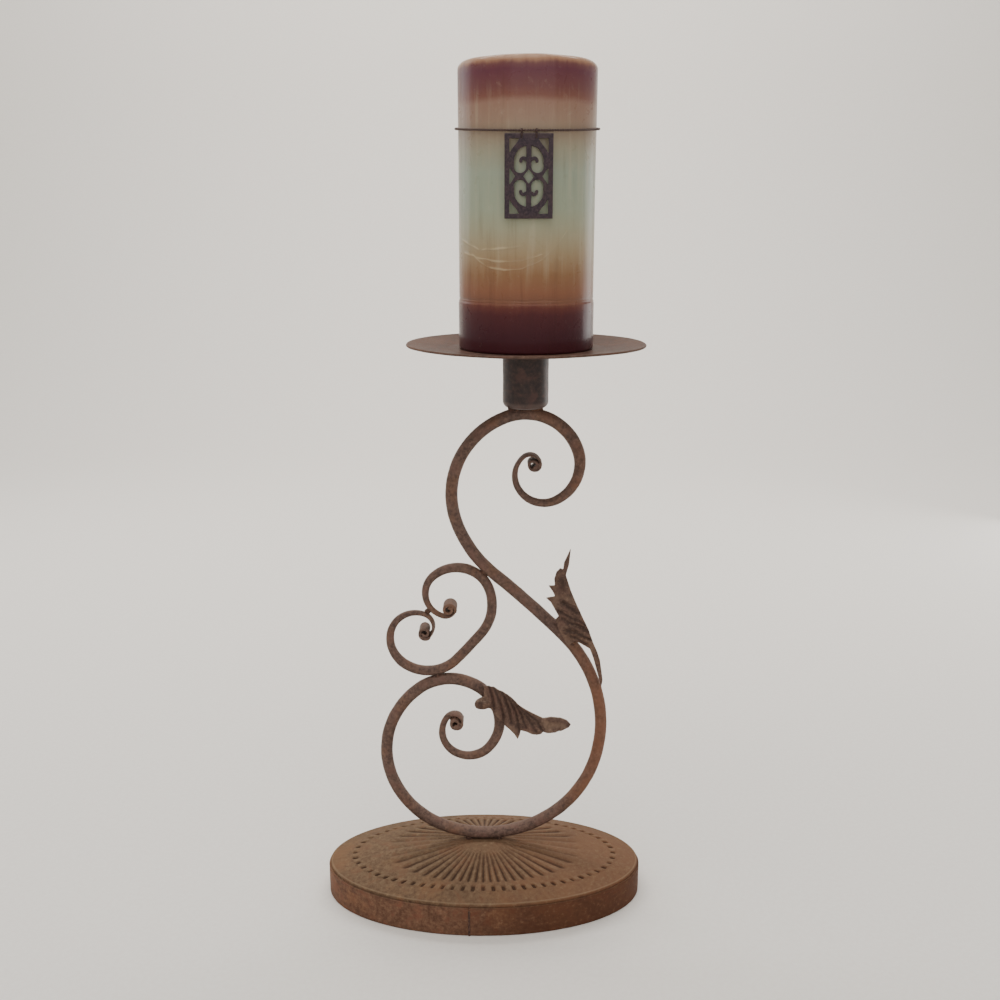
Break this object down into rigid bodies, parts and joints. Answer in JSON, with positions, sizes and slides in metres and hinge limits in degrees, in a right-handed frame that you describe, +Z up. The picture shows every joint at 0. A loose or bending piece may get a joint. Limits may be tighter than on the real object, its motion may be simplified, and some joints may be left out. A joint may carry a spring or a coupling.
{
  "type": "scroll pedestal candle holder",
  "caption": "Rusted iron scroll pedestal on a fluted oval base, carrying a banded pillar candle with a wire ring and a pierced pendant.",
  "frame": {"origin": "centre of the oval base at the floor", "axes": "+X along the base to the right as seen from the front, +Y to the back, +Z up along the candle"},
  "size_m": [0.264, 0.18, 0.6622],
  "materials": {
    "base_iron": "rusty",
    "weld": "rough",
    "bar_iron": "rusty",
    "cup_iron": "rough",
    "plate_iron": "rusty",
    "leaf_iron": "rusty",
    "wax": "satin",
    "wick_cotton": "matte",
    "tin": "satin",
    "ring_iron": "rough",
    "pendant_iron": "rough"
  },
  "bodies": {
    "stand": {"base_skirt": "base_iron", "base_cover": "base_iron", "seam_weld": "weld", "main_scroll": "bar_iron", "heart_scroll": "bar_iron", "base_weld_left": "weld", "base_weld_right": "weld", "heart_stem_weld": "weld", "heart_loop_weld": "weld", "heart_curl_weld": "weld", "candle_cup": "cup_iron", "cup_weld": "weld", "drip_plate": "plate_iron", "plate_weld": "weld", "upper_leaf": "leaf_iron", "upper_leaf_weld": "weld", "lower_leaf": "leaf_iron", "lower_leaf_weld": "weld"},
    "candle": {"candle_body": "wax", "wick": "wick_cotton", "wick_tab": "tin"},
    "ring": {"ring_wire": "ring_iron"},
    "pendant": {"pendant": "pendant_iron", "hanger_left": "ring_iron", "hanger_right": "ring_iron"}
  },
  "joints": [
    {"name": "candle_lift", "type": "slide", "parent": "stand", "child": "candle", "axis": [0, 0, 1], "range_m": [0, 0.25]},
    {"name": "ring_slide", "type": "slide", "parent": "candle", "child": "ring", "axis": [0, 0, 1], "range_m": [-0.055, 0.12]},
    {"name": "pendant_swing", "type": "hinge", "parent": "ring", "child": "pendant", "pos_m": [0.03308, -0.05106, 0.61106], "axis": [-1, 0, 0], "range_deg": [0, 160]}
  ]
}
